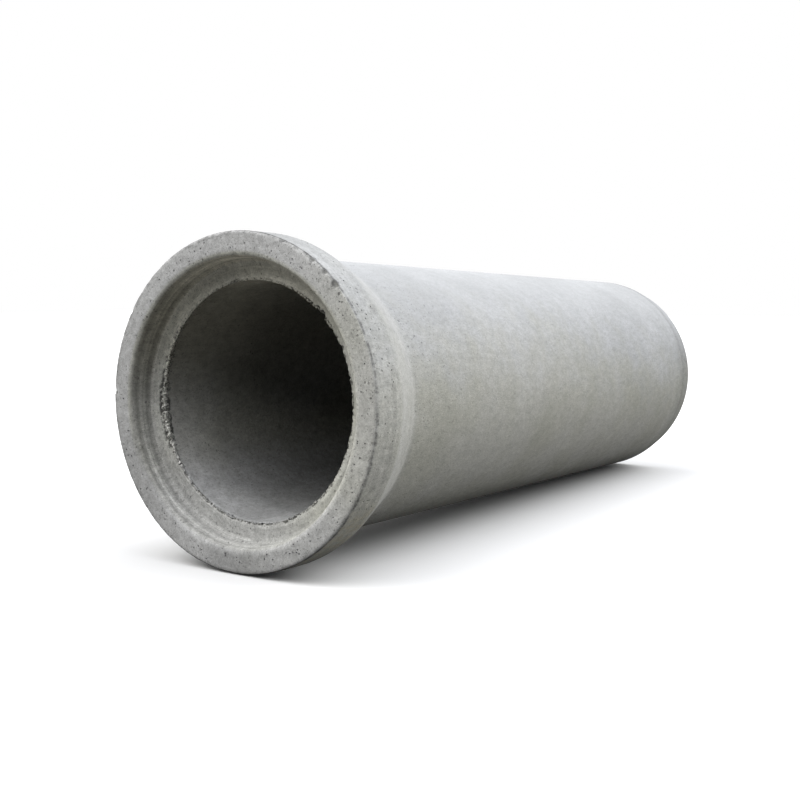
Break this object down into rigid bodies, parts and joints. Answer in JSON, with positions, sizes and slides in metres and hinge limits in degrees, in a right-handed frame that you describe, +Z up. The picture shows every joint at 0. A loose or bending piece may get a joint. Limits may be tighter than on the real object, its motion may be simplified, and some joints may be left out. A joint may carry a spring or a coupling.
{
  "type": "concrete sewer pipe",
  "caption": "Concrete sewer pipe with a flared bell and stepped socket at one end and a rebated spigot at the other, lying on its side.",
  "frame": {"origin": "on the ground, under the middle of the pipe's box", "axes": "+Y along the pipe from its mouth to its spigot, +Z up; the axis slopes down 1.54 degrees towards the spigot, as the pipe lies"},
  "size_m": [0.9794, 2.6378, 0.9816],
  "materials": {
    "concrete": "matte cast concrete with fine pores"
  },
  "bodies": {
    "root": {"pipe": "concrete"}
  },
  "joints": []
}
